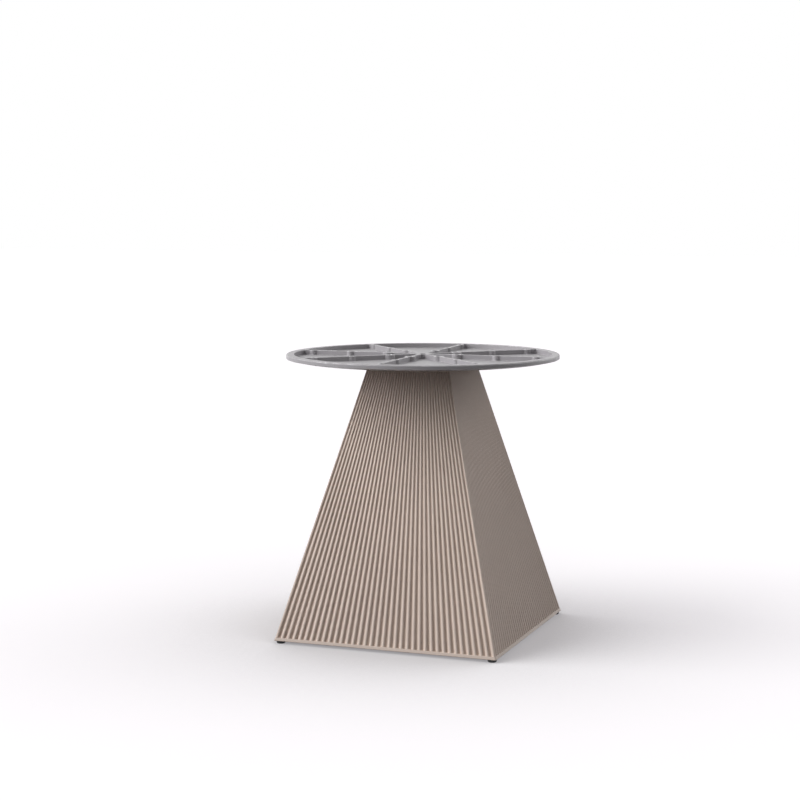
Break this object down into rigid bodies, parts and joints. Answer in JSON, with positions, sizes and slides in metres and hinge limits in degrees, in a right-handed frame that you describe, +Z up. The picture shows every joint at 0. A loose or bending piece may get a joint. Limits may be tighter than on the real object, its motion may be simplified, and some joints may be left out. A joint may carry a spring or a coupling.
{
  "type": "table base",
  "caption": "Hollow pyramid table base with pleats that run together towards the top, standing on corner glides and carrying a ribbed round disc for a tabletop.",
  "frame": {"origin": "on the floor under the middle of the base, level with the lower faces of the glides", "axes": "+Z up through the middle of the base and the disc; X and Y square to the faces of the pyramid, with -Y towards the face that the picture shows most of"},
  "size_m": [0.7059, 0.706, 0.724],
  "materials": {
    "shell": "matte taupe, fine moulded grain",
    "disc": "matte grey casting, fine blasted grain",
    "inserts": "plain turned",
    "fasteners": "zinc plated",
    "glides": "matte near-black"
  },
  "bodies": {
    "root": {"pyramid_shell": "shell", "support_disc": "disc", "deck_inserts": "inserts", "disc_washers": "fasteners", "disc_bolts": "fasteners", "foot_screws": "fasteners", "foot_front_left": "glides", "foot_back_left": "glides", "foot_front_right": "glides", "foot_back_right": "glides"}
  },
  "joints": []
}
